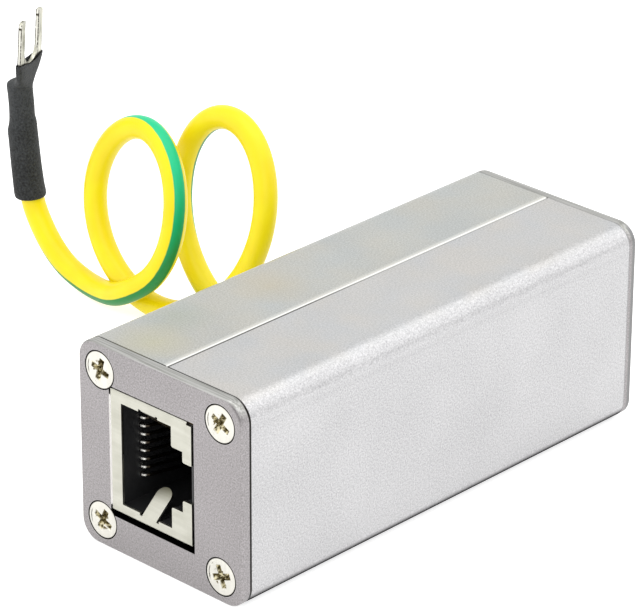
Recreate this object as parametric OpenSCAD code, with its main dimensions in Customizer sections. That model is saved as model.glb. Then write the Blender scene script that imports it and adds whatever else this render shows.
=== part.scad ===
// Ethernet surge protector: a square aluminium body with a shielded modular jack at each
// end, and an earth wire that leaves through the left wall and ends in a fork terminal.
// X is the width, Y the length and Z the height. The origin is at the middle of the base.

/* [Body] */
// Width of the body over its two halves
body_w = 25.4; // [25:0.1:26]
// Height of the body
body_h = 25; // [24.8:0.1:26]
// Length over both end plates
body_l = 65; // [62:0.5:80]
// Radius of the body's long corners
corner_r = 2.5; // [2.2:0.1:3]
// Thickness of the extruded wall
wall_t = 1.5; // [1.3:0.1:1.6]
// Thickness of each end plate
plate_t = 1.2; // [1.1:0.1:1.5]
// Width of the bevel along the seam where the two halves meet
seam_w = 0.22; // [0.1:0.02:0.4]

/* [Screws] */
// Distance from the body's axis to each screw, across and up
screw_off = 9.3; // [9.2:0.05:9.4]
// Diameter of the countersunk head
head_d = 4.45; // [4.2:0.05:4.5]
// Diameter of the screw's shank
shank_d = 2.4; // [2.2:0.1:2.4]
// Length of each screw
screw_l = 8; // [5:0.5:12]

/* [Jack] */
// Height of the jack, from the circuit board to its far side
jack_h = 12.75; // [12.7:0.05:12.8]
// Width of the jack's shield
jack_w = 15.15; // [15.1:0.05:15.2]
// Depth of the jack behind the end plate's face
jack_l = 21.3; // [20:0.1:22]
// Thickness of the shield's sheet
sheet_t = 0.3; // [0.25:0.05:0.35]
// Distance between neighbouring contacts
pitch = 1.016; // [1:0.001:1.03]
// Width of each contact's wire
contact_w = 0.3; // [0.25:0.05:0.4]

/* [Circuit board] */
// Thickness of the board
board_t = 1.6; // [1.5:0.1:1.7]
// Diameter of each gas discharge tube
tube_d = 5; // [4:0.5:5.5]
// Length of each gas discharge tube
tube_l = 7.6; // [6:0.2:8]

/* [Earth wire] */
// Diameter over the wire's insulation
wire_d = 3; // [2.8:0.1:3]
// Where the wire leaves the body, measured along it from the middle
exit_y = 7; // [6.5:0.1:7.5]
// Width of the fork's slot
fork_slot = 3.8; // [3.5:0.1:3.9]
// Width over the fork's two prongs
fork_w = 6.1; // [6:0.1:6.3]

/* [Hidden] */
$fn = 48;
eps = 0.01;
mid_z = body_h / 2;
half_l = body_l / 2;
shell_l = body_l - 2 * plate_t;
plate_edge_r = 0.35;

// The circuit board stands upright, just right of the jacks
board_x = 4.9;
board_l = shell_l - 0.4;
board_h = body_h - 2 * wall_t - 0.2;
rib_t = 0.8;
rib_h = 1.3;
rib_gap = 0.1;

// Screw channels in the corners of the body
channel_r = 2.05;
channel_bore_r = 1.25;
channel_slit = 1.3;

// Height of the head's straight rim, and how deep the head sits below the plate's face
head_rim = 0.12;
head_sink = 0.04;

// Gap round the head, in the plate and in the shield's corner
sink_gap = 0.1;

// Tongue on one lip of each half and groove in the other
tongue_l = 0.9;
tongue_t = 0.5;
groove_l = 1;
groove_t = 0.6;
lip_w = 0.12;

// Window in the end plate, low and high corner, a little larger than the jack's shield
window_lo = [-7.9, 4.43];
window_hi = [5.3, 20.4];

// Turn of each screw's cross recess, below and above on the left, then on the right
screw_turn = [[65, 73], [20, 61]];

// Jack: low corner and the stepped opening's steps, as [right edge, low edge, high edge].
// The last step is open to the sheet's right edge.
jack_x = board_x - jack_h;
jack_z = 5.1;
fold_r = 0.35;
mouth_x = -6;
mouth_steps = [[1.8, 6.35, 18.85], [3.52, 8.96, 16.37], [board_x + 1, 10.4, 15.05]];
mouth_mid_z = (mouth_steps[0][1] + mouth_steps[0][2]) / 2;
mouth_depth = 14;
step_r = 0.25;

// Notch in the upper corner of the shield's face, beside the board
corner_notch = [0.75, 0.4];

// Insert: its gap to the shield, its edges' radius and its thin wall towards the board
insert_gap = 0.02;
insert_r = 0.1;
insert_wall = 0.25;

// Spring tongues of the shield, one at each side of the opening
spring_w = 2.2;
spring_x = -1.8;
spring_l = 3.9;
spring_tilt = 42;
notch_w = 0.4;
peg_y = -half_l + 10.3;
peg_z = 5.7;
peg_r = 1.6;

// Contact wire: places along it, from the tail under the board to the sprung end
contact_t = 0.35;
contact_top_x = -6.45;
contact_bend_y = -half_l + 3;
contact_tip = [-3.1, -half_l + 11.6];
contact_rows = [-half_l + 16.65, -half_l + 19.2];
contact_gap = 0.08;
tail_x = board_x + board_t + 1.1;

// Gas discharge tubes and clamping diodes on the board, as [y, z] of their middles
tube_places = [[-8, 7.1], [-8, 17.9], [-2.2, 7.1], [-2.2, 17.9]];
diode_places = [[2.7, 5.2], [2.7, 9.9], [2.7, 15.1], [2.7, 19.8]];
diode_size = [2.2, 2.6, 4.2];

// Bush in the left wall and the tab that the wire is soldered to
bush_r = 2.3;
flange_r = 3.2;
flange_t = 1.2;
bush_gap = 0.05;
tab_w = 4.6;
tab_t = 0.8;
cup_r = 1.5;
cup_l = 3;
wire_r = wire_d / 2;
wire_sides = 8;
core_r = 0.8;
core_gap = 0.05;

// Shrink sleeve: its low end, its lean to the left, and its lengths along the wire
sleeve_base = [-68.3, 11, 10.4];
sleeve_tilt = 5.6;
sleeve_r = 2.1;
sleeve_step = 10;
sleeve_neck_r = 1.75;
sleeve_l = 15;
barrel_r = 1.45;
barrel_l = 5.6;
insulation_end = 8;
core_end = 14;
sheath_t = 0.3;

// Where the sleeve is already flat: its middle across the fork, its height and its width
shoulder_x = -0.23;
shoulder_z = 2.2;
shoulder_w = 5.74;

// Gaps of the sleeve to the wire, there where the wire enters, to the barrel and to the palm
sleeve_gap = 0.06;
entry_gap = 0.28;
barrel_gap = 0.03;
palm_gap = 0.04;

// Fork: leans back over the coil, is turned about the wire and lies at the barrel's near side
fork_tilt = 5;
fork_turn = 112;
fork_t = 0.45;
fork_y = fork_t / 2 - barrel_r;
fork_l = 9.75;
slot_floor = 3.4;
palm_z = 3.4;
flare_z = 3.9;
neck_w = 2.4;
root_w = 1.2;

// The wire's route from the tab, out through the bush and down to the surface
lead_in = [
    [board_x - tab_t - cup_l - core_gap, exit_y, mid_z], [-5, exit_y, mid_z],
    [-body_w / 2, exit_y, mid_z], [-17, exit_y, 12.3],
    [-20.5, 7.5, 11.2], [-23.5, 8.6, 9.2], [-26.2, 10.2, 6.8], [-28.8, 12.2, 4.4],
    [-31.8, 14.2, 2.6], [-35.2, 15.8, 1.7]
];

// The far turn stands on the surface and drifts away from the body
turn_start = [-38.1, 18.4];
turn_drift = [-11, -4.4];
turn_half_w = 10.7;
turn_half_h = 12.75;
turn_shrink = 1.5;
turn_lean = 2.7;
turn_from = -75;
turn_to = 285;
turn_step = 15;

// The near turn leans towards the sleeve, so it is given by points
near_turn = [
    [-52.6, 12.4, 3.01], [-55.25, 12.65, 4.78], [-57.37, 13.04, 7.06], [-58.86, 13.53, 9.69],
    [-59.63, 14.07, 12.5], [-59.66, 14.63, 15.28], [-58.98, 15.15, 17.84], [-57.7, 15.57, 20.03],
    [-55.94, 15.84, 21.69], [-53.85, 15.91, 22.72], [-51.61, 15.77, 23.02], [-49.4, 15.38, 22.52],
    [-47.35, 14.81, 21.29], [-45.64, 14.11, 19.44], [-44.39, 13.32, 17.1], [-43.73, 12.5, 14.43],
    [-43.7, 11.72, 11.63], [-44.38, 10.98, 8.88], [-45.81, 10.28, 6.43]
];

// From the near turn along the surface and up to the sleeve
tail_out = [
    [-48.77, 9.69, 4.11], [-51.84, 9.91, 2.46], [-55.29, 10.64, 1.65], [-58.74, 11.13, 1.65],
    [-62.05, 11.07, 2.78], [-64.65, 11.08, 4.76], [-66.59, 11.13, 7.09], [-67.76, 11.17, 9.05]
];
sleeve_axis = [-sin(sleeve_tilt), 0, cos(sleeve_tilt)];

// The wire lies off the sleeve's axis where it enters
wire_entry = [0.15, 0.13, 0];
entry_depth = 3;

function turn_point(a) = let (n = a / 360) [
    turn_start[0] + turn_drift[0] * n - turn_half_w * cos(a),
    turn_start[1] + turn_drift[1] * n + turn_lean * sin(a),
    wire_r + (turn_half_h - turn_shrink * n) * (1 + sin(a))
];

wire_route = concat(
    lead_in,
    [for (a = [turn_from:turn_step:turn_to]) turn_point(a)],
    near_turn,
    tail_out,
    [sleeve_base + wire_entry],
    [for (s = [entry_depth, insulation_end]) sleeve_base + s * sleeve_axis]
);

// Direction of the route at point i
function heading(path, i) =
    let (d = path[min(i + 1, len(path) - 1)] - path[max(i - 1, 0)]) d / norm(d);

// Ring of a tube around point i, square to the route; the route never runs along Y
function ring(path, i, r, sides) =
    let (t = heading(path, i), c = cross(t, [0, 1, 0]), u = c / norm(c), v = cross(t, u))
    [for (k = [0:sides - 1]) path[i] + r * (cos(k * 360 / sides) * u + sin(k * 360 / sides) * v)];

// A tube of r along a path, closed at both ends
module tube_along(path, r, sides) {
    last = len(path) - 1;
    points = [for (i = [0:last]) each ring(path, i, r, sides)];
    walls = [
        for (i = [0:last - 1], k = [0:sides - 1])
            let (a = i * sides + k, b = i * sides + (k + 1) % sides)
            each [[a, a + sides, b], [b, a + sides, b + sides]]
    ];
    near_end = [for (k = [0:sides - 1]) k];
    far_end = [for (k = [sides - 1:-1:0]) last * sides + k];
    polyhedron(points = points, faces = concat([near_end], walls, [far_end]));
}

// Extrudes an outline drawn across and up, from y0 for a length l
module along_y(y0, l) {
    translate([0, y0 + l, 0]) rotate([90, 0, 0]) linear_extrude(l) children();
}

// Turns what is made for the front end about the board's cross axis, to the rear end
module at_rear() {
    translate([0, 0, body_h]) rotate([180, 0, 0]) children();
}

// A rectangle with round corners, its middle at the origin
module round_rect(w, h, r) {
    square([w - 2 * r, h], center = true);
    square([w, h - 2 * r], center = true);
    for (x = [-1, 1], z = [-1, 1])
        translate([x * (w / 2 - r), z * (h / 2 - r)]) circle(r);
}

// Places something at each of the four screws, as an outline
module at_screws_2d() {
    for (x = [-1, 1], z = [-1, 1])
        translate([x * screw_off, mid_z + z * screw_off]) children();
}

// Section of one half of the body: wall, screw channels, board ribs, tongue and groove.
// It is drawn as the right half; the left half is the same extrusion turned half round.
module half_section() {
    difference() {
        union() {
            intersection() {
                translate([0, mid_z]) difference() {
                    round_rect(body_w, body_h, corner_r);
                    round_rect(body_w - 2 * wall_t, body_h - 2 * wall_t, corner_r - wall_t);
                }
                square([body_w, body_h]);
            }
            for (z = [-1, 1])
                translate([screw_off, mid_z + z * screw_off]) circle(channel_r);
            for (x = [board_x - rib_gap - rib_t, board_x + board_t + rib_gap])
                for (z = [wall_t - eps, body_h - wall_t - rib_h])
                    translate([x, z]) square([rib_t, rib_h + eps]);
            translate([-tongue_l, body_h - wall_t + tongue_t]) square([tongue_l + eps, tongue_t]);
        }
        for (z = [-1, 1])
            translate([screw_off, mid_z + z * screw_off]) {
                circle(channel_bore_r);
                rotate(z * -135) translate([0, -channel_slit / 2]) square([channel_r + 1, channel_slit]);
            }
        translate([-eps, wall_t - tongue_t - (groove_t + tongue_t) / 2])
            square([groove_l, groove_t]);
        // Bevels along the two outer edges of the seam
        for (e = [[0, seam_w], [body_h, lip_w]])
            translate([0, e[0]]) rotate(45) square(e[1] * sqrt(2), center = true);
    }
}

module right_shell() {
    color([0.84, 0.84, 0.83]) along_y(-shell_l / 2, shell_l) half_section();
}

module left_shell() {
    color([0.82, 0.82, 0.80]) difference() {
        translate([0, 0, body_h]) rotate([0, 180, 0])
            along_y(-shell_l / 2, shell_l) half_section();
        translate([-body_w / 2 - 1, exit_y, mid_z]) rotate([0, 90, 0])
            cylinder(r = bush_r + bush_gap, h = wall_t + 2);
    }
}

// Plate with a rounded front edge: its corners are turned and its sides extruded
module soft_slab() {
    e = plate_edge_r;
    r = corner_r - e;
    translate([0, 0, mid_z]) rotate([90, 0, 0]) {
        translate([0, 0, -plate_t]) linear_extrude(plate_t - e)
            round_rect(body_w, body_h, corner_r);
        translate([0, 0, -e - eps]) linear_extrude(e + eps)
            round_rect(body_w - 2 * e, body_h - 2 * e, r);
        for (i = [0:3])
            let (w = i % 2 == 0 ? body_w : body_h, h = i % 2 == 0 ? body_h : body_w)
                rotate(i * 90) translate([w / 2, h / 2, -e]) {
                    translate([-corner_r, -corner_r, 0]) rotate_extrude(angle = 90)
                        translate([r, 0]) quarter_round(e);
                    translate([-e, -h / 2, 0]) rotate([90, 0, 0])
                        linear_extrude(h - 2 * corner_r, center = true) quarter_round(e);
                }
    }
}

// Quarter of a disc of r, with a sliver more at its two straight sides
module quarter_round(r) {
    intersection() {
        translate([-eps, -eps]) square(r + eps);
        circle(r, $fn = 24);
    }
}

// End plate as it stands at the front, with its window and four countersunk holes
module plate() {
    hole_r = shank_d / 2 + 0.1;
    sink_r = head_d / 2 + sink_gap;
    rim = head_rim + head_sink;
    difference() {
        translate([0, -half_l, 0]) soft_slab();
        along_y(-half_l - 1, plate_t + 2) translate(window_lo)
            square(window_hi - window_lo);
        for (x = [-1, 1], z = [-1, 1])
            translate([x * screw_off, -half_l, mid_z + z * screw_off]) rotate([-90, 0, 0])
                rotate_extrude() polygon([
                    [0, -1], [sink_r, -1], [sink_r, rim], [hole_r, rim + sink_r - hole_r],
                    [hole_r, plate_t + 1], [0, plate_t + 1]
                ]);
    }
}

module front_plate() {
    color([0.71, 0.69, 0.70]) plate();
}

module rear_plate() {
    color([0.71, 0.69, 0.70]) at_rear() plate();
}

// Countersunk screw with a cross recess, its head's face at z = 0 and its shank upwards
module screw() {
    recess_l = 2.5;
    recess_w = 0.62;
    tip = 0.5;
    difference() {
        rotate_extrude() polygon([
            [0, 0], [head_d / 2 - 0.05, 0], [head_d / 2, 0.05], [head_d / 2, head_rim],
            [shank_d / 2, head_rim + (head_d - shank_d) / 2], [shank_d / 2, screw_l - tip],
            [shank_d / 2 - tip, screw_l], [0, screw_l]
        ]);
        for (a = [0, 90]) rotate(a)
            translate([0, 0, -eps]) linear_extrude(0.7) square([recess_l, recess_w], center = true);
        translate([0, 0, -eps]) cylinder(r1 = 0.75, r2 = 0.3, h = 1.2);
    }
}

// The four screws of the front plate
module screw_set() {
    for (i = [0, 1], k = [0, 1])
        translate([(2 * i - 1) * screw_off, head_sink - half_l, mid_z + (2 * k - 1) * screw_off])
            rotate([-90, 0, 0]) rotate(-screw_turn[i][k]) screw();
}

module front_screws() {
    color([0.86, 0.85, 0.82]) screw_set();
}

module rear_screws() {
    color([0.86, 0.85, 0.82]) at_rear() screw_set();
}

// Stepped opening of the jack, seen from the front; grow widens it all round
module mouth_outline(grow = 0) {
    for (i = [0:2])
        let (s = mouth_steps[i], left = i == 0 ? mouth_x - grow : mouth_x + 1)
            translate([left, s[1] - grow])
                square([s[0] + grow - left, s[2] - s[1] + 2 * grow]);
    // The sheet's corners at the steps are round
    for (i = [0, 1], up = [0, 1])
        let (s = mouth_steps[i], n = mouth_steps[i + 1])
            translate([s[0] + grow, up == 0 ? n[1] - grow : n[2] + grow])
                mirror([0, up]) corner_cut(step_r);
}

// What rounding takes off a corner that points up and left to the origin
module corner_cut(r) {
    difference() {
        translate([-eps, -r]) square([r + eps, r + eps]);
        translate([r, -r]) circle(r, $fn = 24);
    }
}

// Block between two corners, its edges round by r but for those along Y
module folded_block(lo, hi, r) {
    size = hi - lo;
    mid = (lo + hi) / 2;
    intersection() {
        translate([mid[0], mid[1], lo[2]]) linear_extrude(size[2])
            round_rect(size[0], size[1], r);
        translate([lo[0], mid[1], mid[2]]) rotate([90, 0, 90]) linear_extrude(size[0])
            round_rect(size[1], size[2], r);
    }
}

// One spring tongue of the shield, cut free beside its root and bent into the jack
module spring() {
    root_z = mouth_steps[0][1] - sheet_t;
    translate([spring_x, -half_l + sheet_t, root_z]) {
        rotate([0, 90, 0]) cylinder(r = sheet_t, h = spring_w, center = true);
        rotate([spring_tilt - 90, 0, 0]) translate([0, -sheet_t, 0]) rotate([-90, 0, 0])
            mirror([0, 1, 0]) linear_extrude(sheet_t) {
                translate([-spring_w / 2, 0]) square([spring_w, spring_l - spring_w / 2]);
                translate([0, spring_l - spring_w / 2]) circle(spring_w / 2);
            }
    }
}

// Folded shield: face, far wall, two side walls and back; it is open towards the board
module jack_shield() {
    lo = [jack_x, -half_l, jack_z];
    hi = [board_x + 1, jack_l - half_l, jack_z + jack_w];
    wall = [sheet_t, sheet_t, sheet_t];
    tail_y = 13 - half_l;
    difference() {
        union() {
            difference() {
                folded_block(lo, hi, fold_r);
                folded_block(lo + wall, hi + [1, 0, 0] - wall, fold_r - sheet_t);
                translate([board_x, lo[1] - 1, lo[2] - 1]) cube([3, jack_l + 2, jack_w + 2]);
                along_y(lo[1] - 1, sheet_t + 1.5) mouth_outline();
            }
            for (z = [lo[2], hi[2] - sheet_t])
                translate([board_x - 1, tail_y, z]) cube([board_t + 2.2, 1.5, sheet_t]);
        }
        translate([board_x - corner_notch[0], lo[1] - 1, hi[2] - corner_notch[1]])
            cube([corner_notch[0] + 1, fold_r + 1, corner_notch[1] + 1]);
        // Room for the head of the screw beside the upper left corner
        translate([-screw_off, lo[1] - 1, mid_z + screw_off]) rotate([-90, 0, 0])
            cylinder(r = head_d / 2 + sink_gap, h = fold_r + 1.05);
        // The springs and the notches beside their roots are cut out of the face
        for (z = [mouth_steps[0][1] - sheet_t, mouth_steps[0][2] - eps])
            translate([spring_x - spring_w / 2 - notch_w, lo[1] - 1, z])
                cube([spring_w + 2 * notch_w, sheet_t + 1.5, sheet_t + eps]);
    }
    spring();
    translate([0, 0, 2 * mouth_mid_z]) mirror([0, 0, 1]) spring();
}

module front_jack_shield() {
    color([0.93, 0.91, 0.86]) jack_shield();
}

module rear_jack_shield() {
    color([0.93, 0.91, 0.86]) at_rear() jack_shield();
}

// Outline of a strip of thickness t along points, with round bends
module strip(points, t) {
    for (i = [0:len(points) - 2])
        let (d = points[i + 1] - points[i])
            translate(points[i]) rotate(atan2(d[1], d[0]))
                translate([0, -t / 2]) square([norm(d), t]);
    for (i = [1:len(points) - 2])
        translate(points[i]) circle(t / 2, $fn = 24);
}

function contact_path(i) = let (row_y = contact_rows[i % 2]) [
    [tail_x, row_y], [contact_top_x, row_y], [contact_top_x, contact_bend_y + 0.35],
    [contact_top_x + 0.2, contact_bend_y + 0.1], [contact_top_x + 0.5, contact_bend_y],
    [contact_top_x + 0.85, contact_bend_y + 0.1], [contact_top_x + 1.15, contact_bend_y + 0.5],
    contact_tip
];

// Contact i of the front jack, counted upwards; grow widens it for its slot
module contact(i, grow = 0) {
    w = contact_w + 2 * grow;
    z = mouth_mid_z + (i - 4.5) * pitch;
    translate([0, 0, z - w / 2]) linear_extrude(w)
        strip(contact_path(i), contact_t + 2 * grow);
}

// Moulded insert: block with the stepped cavity, a comb of slots, channels and two pegs
module jack_insert() {
    g = sheet_t + insert_gap;
    y0 = -half_l + g;
    y1 = -half_l + jack_l - g;
    comb_w = 0.62;
    root = 1.6;
    difference() {
        union() {
            folded_block([jack_x + g, y0, jack_z + g],
                [board_x, y1, jack_z + jack_w - g], insert_r);
            for (z = [-1, 1])
                translate([board_x - eps, peg_y, mouth_mid_z + z * peg_z]) rotate([0, 90, 0])
                    cylinder(r = peg_r, h = board_t + 0.8);
        }
        along_y(y0 - 1, mouth_depth + 1) intersection() {
            mouth_outline(0.1);
            translate([jack_x, 0]) square([board_x - insert_wall - jack_x, body_h]);
        }
        // Room for the roots of the shield's springs
        for (z = [mouth_steps[0][1] - root / 2, mouth_steps[0][2] - root / 2])
            translate([spring_x - spring_w / 2 - notch_w, y0 - 1, z])
                cube([spring_w + 2 * notch_w, root + 1, root]);
        for (i = [1:8]) {
            contact(i, contact_gap);
            // Comb slot behind the contact's sprung end, in the cavity's back wall
            translate([mouth_x, y0 + mouth_depth - 1, mouth_mid_z + (i - 4.5) * pitch - comb_w / 2])
                cube([4.2, 2.2, comb_w]);
        }
    }
}

module front_jack_insert() {
    color([0.06, 0.06, 0.06]) jack_insert();
}

module rear_jack_insert() {
    color([0.06, 0.06, 0.06]) at_rear() jack_insert();
}

module front_contact(i) {
    color([0.90, 0.85, 0.70]) contact(i);
}

module rear_contact(i) {
    color([0.90, 0.85, 0.70]) at_rear() contact(i);
}

// Holes that one jack needs in the board: contacts, pegs and shield tails
module jack_holes() {
    drill = board_t + 2;
    for (i = [1:8])
        translate([board_x - 1, contact_rows[i % 2], mouth_mid_z + (i - 4.5) * pitch])
            rotate([0, 90, 0]) cylinder(r = 0.42, h = drill, $fn = 24);
    for (z = [-1, 1])
        translate([board_x - 1, peg_y, mouth_mid_z + z * peg_z]) rotate([0, 90, 0])
            cylinder(r = peg_r + 0.05, h = drill);
    for (z = [jack_z, jack_z + jack_w - sheet_t])
        translate([board_x - 1, -half_l + 13 - 0.2, z - 0.2])
            cube([drill, 1.5 + 0.4, sheet_t + 0.4]);
}

module circuit_board() {
    color([0.10, 0.35, 0.22]) difference() {
        translate([board_x, -board_l / 2, mid_z - board_h / 2])
            cube([board_t, board_l, board_h]);
        jack_holes();
        at_rear() jack_holes();
    }
}

// Three-electrode gas discharge tube: ceramic barrel between metal caps and a middle ring
module gas_tube(i) {
    p = tube_places[i - 1];
    cap_l = 0.9;
    ring_l = 0.7;
    waist_r = tube_d / 2 - 0.25;
    translate([board_x - tube_d / 2, p[0], p[1] - tube_l / 2]) {
        color([0.92, 0.90, 0.86]) cylinder(r = waist_r, h = tube_l);
        bands = [[0, cap_l], [(tube_l - ring_l) / 2, ring_l], [tube_l - cap_l, cap_l]];
        color([0.80, 0.80, 0.80]) for (band = bands)
            translate([0, 0, band[0]]) cylinder(r = tube_d / 2, h = band[1]);
    }
}

// Clamping diode: moulded block with a foot bent under each end
module clamp_diode(i) {
    p = diode_places[i - 1];
    foot = [0.25, 1.5, 0.5];
    translate([board_x, p[0], p[1]]) {
        color([0.12, 0.12, 0.13]) translate([-diode_size[0], -diode_size[1] / 2, -diode_size[2] / 2])
            cube([diode_size[0] - foot[0], diode_size[1], diode_size[2]]);
        color([0.80, 0.80, 0.78]) for (z = [-1, 1])
            translate([-1.2, -foot[1] / 2, z * (diode_size[2] / 2 - 0.3) - foot[2] / 2])
                cube([1.2, foot[1], foot[2] + 0.1]);
    }
}

// Earth tab: a pad on the board with a cup that takes the wire
module earth_tab() {
    color([0.85, 0.84, 0.80]) difference() {
        union() {
            translate([board_x - tab_t, exit_y - tab_w / 2, mid_z - tab_w / 2])
                cube([tab_t, tab_w, tab_w]);
            translate([board_x - tab_t - cup_l, exit_y, mid_z]) rotate([0, 90, 0])
                cylinder(r = cup_r, h = cup_l + eps);
        }
        translate([board_x - tab_t - cup_l - 1, exit_y, mid_z]) rotate([0, 90, 0])
            cylinder(r = core_r + core_gap, h = cup_l + 1);
    }
}

// Bush in the left wall, with a flange outside and a lip inside
module wire_bush() {
    lip_r = bush_r + 0.5;
    lip_t = 0.8;
    soft = 0.3;
    x0 = body_w / 2;
    color([0.10, 0.10, 0.10]) translate([0, exit_y, mid_z]) rotate([0, -90, 0]) rotate_extrude()
        polygon([
            [wire_r + bush_gap, x0 - wall_t - lip_t], [lip_r - soft, x0 - wall_t - lip_t],
            [lip_r, x0 - wall_t - lip_t + soft], [lip_r, x0 - wall_t], [bush_r, x0 - wall_t],
            [bush_r, x0], [flange_r, x0], [flange_r, x0 + flange_t - soft],
            [flange_r - soft, x0 + flange_t], [wire_r + bush_gap, x0 + flange_t]
        ]);
}

// Insulated wire with a bare end in the tab's cup and another in the fork's barrel
module earth_wire() {
    color([0.98, 0.90, 0.08]) tube_along(wire_route, wire_r, wire_sides);
    color([0.85, 0.60, 0.45]) {
        translate(wire_route[0] - [1, 0, 0]) rotate([0, 90, 0]) cylinder(r = core_r, h = cup_l + 0.9);
        on_sleeve() translate([0, 0, insulation_end - 1])
            cylinder(r = core_r, h = core_end - insulation_end + 1);
    }
}

// Places something on the sleeve's axis, with its low end at the origin
module on_sleeve() {
    translate(sleeve_base) rotate([0, -sleeve_tilt, 0]) children();
}

// Places something in the fork's plane: x across the prongs, y through the sheet, z along
module on_fork() {
    translate(sleeve_base + sleeve_l * sleeve_axis) rotate([0, fork_tilt, 0])
        rotate([0, 0, fork_turn]) children();
}

// The fork's flat outline, from the neck to the prongs' tips; grow widens it all round
module fork_outline(grow = 0) {
    prong_w = (fork_w - fork_slot) / 2;
    tip = 0.3;
    side = fork_w / 2 + grow;
    difference() {
        polygon([
            [-root_w / 2 - grow, -0.5 - grow], [root_w / 2 + grow, -0.5 - grow],
            [neck_w / 2 + grow, 0.6], [side, palm_z], [side, fork_l - tip],
            [side - tip, fork_l], [side - prong_w + tip, fork_l],
            [-side + prong_w - tip, fork_l], [-side + tip, fork_l],
            [-side, fork_l - tip], [-side, palm_z], [-neck_w / 2 - grow, 0.6]
        ]);
        translate([0, slot_floor + fork_slot / 2]) {
            circle(fork_slot / 2 - grow);
            translate([-fork_slot / 2 + grow, 0]) square([fork_slot - 2 * grow, fork_l]);
        }
    }
}

module fork_sheet(grow = 0) {
    translate([0, fork_y, 0]) rotate([90, 0, 0])
        linear_extrude(fork_t + 2 * grow, center = true) fork_outline(grow);
}

module fork_terminal() {
    color([0.90, 0.90, 0.88]) {
        on_fork() fork_sheet();
        on_sleeve() translate([0, 0, sleeve_l - barrel_l]) difference() {
            cylinder(r = barrel_r, h = barrel_l);
            translate([0, 0, -1]) cylinder(r = core_r + core_gap, h = barrel_l + 0.2);
        }
    }
}

// Shrink sleeve: round over the wire and the barrel, then pressed flat over the fork's palm
module shrink_sleeve() {
    flat_t = fork_t + 2 * sheath_t + 0.1;
    soft = 0.2;
    color([0.22, 0.23, 0.25]) difference() {
        union() {
            on_sleeve() rotate_extrude() polygon([
                [0, 0], [sleeve_r - soft, 0], [sleeve_r, soft], [sleeve_r - 0.1, sleeve_step],
                [sleeve_neck_r, sleeve_step + 0.4], [sleeve_neck_r - 0.05, sleeve_l],
                [0, sleeve_l]
            ]);
            hull() {
                on_sleeve() translate([0, 0, sleeve_l - 0.7])
                    cylinder(r = sleeve_neck_r - 0.05, h = 0.6, $fn = 32);
                on_fork() shoulder_slab(flat_t);
            }
            hull() on_fork() {
                shoulder_slab(flat_t);
                translate([0, fork_y, flare_z - 0.3])
                    cube([fork_w + 0.7, flat_t, 0.6], center = true);
            }
        }
        on_sleeve() translate([0, 0, -1])
            cylinder(r = wire_r + sleeve_gap, h = sleeve_l - barrel_l + 1);
        on_sleeve() translate([0, 0, -eps])
            cylinder(r1 = wire_r + entry_gap, r2 = wire_r + sleeve_gap, h = entry_depth);
        on_sleeve() translate([0, 0, sleeve_l - barrel_l - 0.5])
            cylinder(r = barrel_r + barrel_gap, h = barrel_l + 0.5 + barrel_gap);
        on_fork() fork_sheet(palm_gap);
        // The near wall is cut away in front of the slot, the far wall stands behind it
        on_fork() translate([0, fork_y + fork_t / 2 + palm_gap, slot_floor + fork_slot / 2])
            rotate([90, 0, 0]) cylinder(r = fork_slot / 2 - palm_gap, h = 2);
    }
}

// Where the sleeve is already flat, a little wider on the side away from the jacks
module shoulder_slab(thick) {
    translate([shoulder_x, fork_y, shoulder_z])
        cube([shoulder_w, thick + 0.1, 0.4], center = true);
}

left_shell();
right_shell();
front_plate();
rear_plate();
front_screws();
rear_screws();
circuit_board();
front_jack_shield();
front_jack_insert();
rear_jack_shield();
rear_jack_insert();
for (i = [1:8]) {
    front_contact(i);
    rear_contact(i);
}
for (i = [1:4]) {
    gas_tube(i);
    clamp_diode(i);
}
earth_tab();
wire_bush();
earth_wire();
shrink_sleeve();
fork_terminal();
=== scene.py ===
# Ethernet surge protector with its earth wire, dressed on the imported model.
# Lengths are in metres, in the model's own frame: X is the width, Y the length, Z the height.
import math

import bmesh
import bpy
from mathutils import Matrix, Vector


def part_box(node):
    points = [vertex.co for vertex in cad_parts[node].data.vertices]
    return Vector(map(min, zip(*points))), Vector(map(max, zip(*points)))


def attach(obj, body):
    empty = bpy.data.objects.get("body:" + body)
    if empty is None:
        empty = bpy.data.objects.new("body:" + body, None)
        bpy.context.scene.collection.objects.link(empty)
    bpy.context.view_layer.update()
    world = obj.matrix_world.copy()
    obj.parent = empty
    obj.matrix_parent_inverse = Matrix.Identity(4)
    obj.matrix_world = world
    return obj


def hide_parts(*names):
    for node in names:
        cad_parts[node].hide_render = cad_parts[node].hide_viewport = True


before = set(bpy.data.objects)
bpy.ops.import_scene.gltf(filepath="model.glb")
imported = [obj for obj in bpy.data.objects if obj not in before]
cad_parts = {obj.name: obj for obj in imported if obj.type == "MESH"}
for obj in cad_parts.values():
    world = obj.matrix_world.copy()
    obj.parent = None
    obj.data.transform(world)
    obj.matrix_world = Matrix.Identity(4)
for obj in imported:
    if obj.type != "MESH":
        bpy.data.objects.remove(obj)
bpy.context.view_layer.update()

MM = 0.001
Y_AXIS = Vector((0, 1, 0))

# Sizes of the body, read from its front plate, and the radius of its long corners
plate_lo, plate_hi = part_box("front_plate")
front_y = plate_lo.y
half_l = -front_y
plate_t = plate_hi.y - plate_lo.y
body_h = plate_hi.z
mid_z = body_h / 2
wall_x = plate_lo.x
corner_r = 2.5 * MM

# End plates: a hair behind the window's left wall, the strip beside it where the jack's sheet
# sits tight, the crevice between the two, and how far out window and screw holes reach
window_left = -7.95 * MM
tight_right = -7.5 * MM
tight_half_h = 7 * MM
crevice_half_h = 6.8 * MM
holes_reach = 11.6 * MM

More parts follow.
